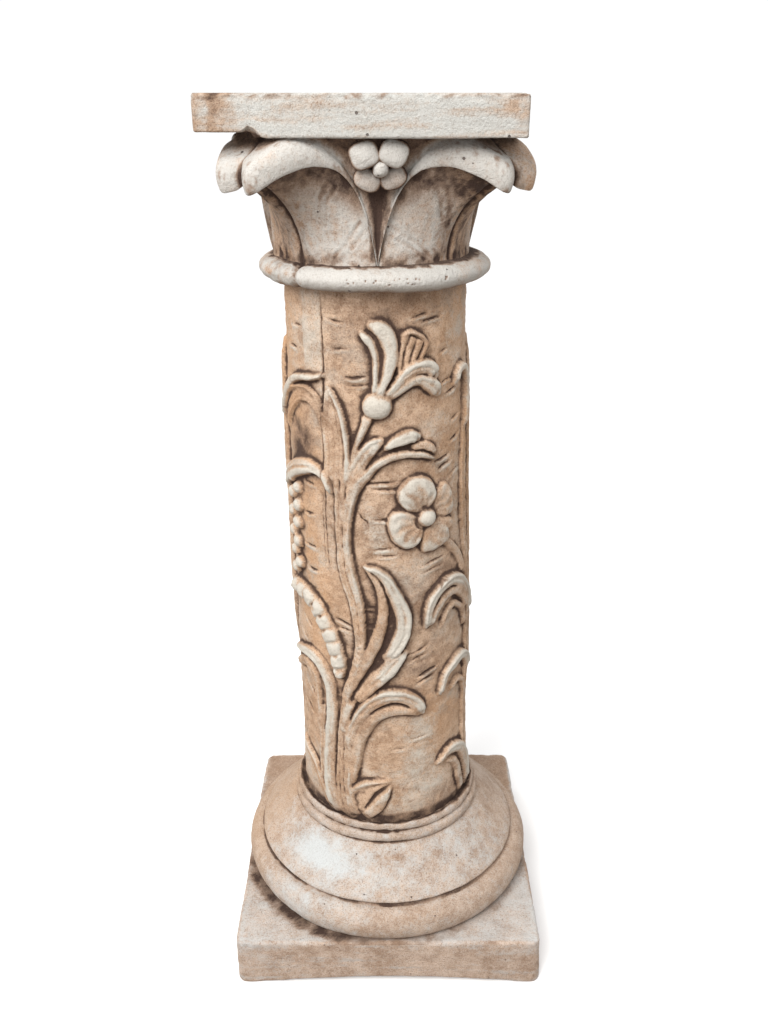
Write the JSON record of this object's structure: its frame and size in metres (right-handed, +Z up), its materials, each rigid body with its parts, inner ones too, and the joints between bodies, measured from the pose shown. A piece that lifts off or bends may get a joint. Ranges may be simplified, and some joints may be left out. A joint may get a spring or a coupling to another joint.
{
  "type": "pedestal column",
  "caption": "Cast-stone pedestal column: square plinth, moulded round foot, shaft carved with climbing leaves and flowers, ring, leaf capital and square slab.",
  "frame": {"origin": "centre of the plinth's underside", "axes": "+Z up the column, -Y towards the front of the plinth, +X to the right as seen from the front"},
  "size_m": [0.2576, 0.259, 0.705],
  "materials": {
    "cast_stone": "matt cast stone, off-white on the raised carving, with a tan-brown wash left in the recesses"
  },
  "bodies": {
    "root": {"column": "cast_stone"}
  },
  "joints": []
}
